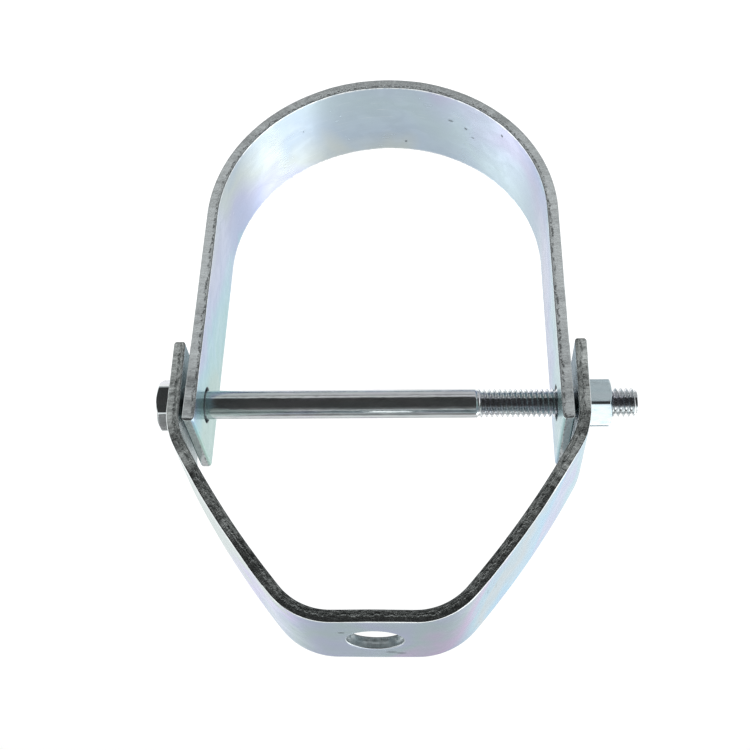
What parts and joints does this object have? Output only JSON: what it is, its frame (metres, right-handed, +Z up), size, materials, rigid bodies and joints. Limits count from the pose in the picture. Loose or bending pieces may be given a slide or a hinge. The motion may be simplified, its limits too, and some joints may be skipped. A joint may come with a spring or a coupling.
{
  "type": "clevis hanger",
  "caption": "Adjustable clevis hanger: bent steel yoke with a rod hole, U-shaped pipe cradle, and a cross bolt and nut that join them.",
  "frame": {"origin": "centre of the rod hole at the underside of the yoke's base, where the rod's nut bears", "axes": "+Z up the hanger rod, +X along the cross bolt towards its head, Y along the pipe; the hanger is shown as it hangs"},
  "size_m": [0.1298, 0.0286, 0.17],
  "materials": {
    "zinc_strap": "clear zinc plate with a faint rainbow sheen, rough sheared edges",
    "zinc_fastener": "bright clear zinc plate"
  },
  "bodies": {
    "yoke": {"upper_yoke": "zinc_strap"},
    "cradle": {"lower_strap": "zinc_strap"},
    "bolt": {"cross_bolt": "zinc_fastener"},
    "nut": {"hex_nut": "zinc_fastener"}
  },
  "joints": [
    {"name": "cradle_swing", "type": "hinge", "parent": "yoke", "child": "cradle", "pos_m": [0, 0, -0.0628], "axis": [1, 0, 0], "range_deg": [-12, 12]},
    {"name": "bolt_turn", "type": "hinge", "parent": "yoke", "child": "bolt", "pos_m": [0, 0, -0.0628], "axis": [1, 0, 0], "range_deg": [0, 3240]},
    {"name": "nut_travel", "type": "slide", "parent": "yoke", "child": "nut", "axis": [-1, 0, 0], "range_m": [0, 0.01271]}
  ],
  "couplings": [
    {"joint": "nut_travel", "follows": "bolt_turn", "m_per_rad": 0.00022459}
  ]
}
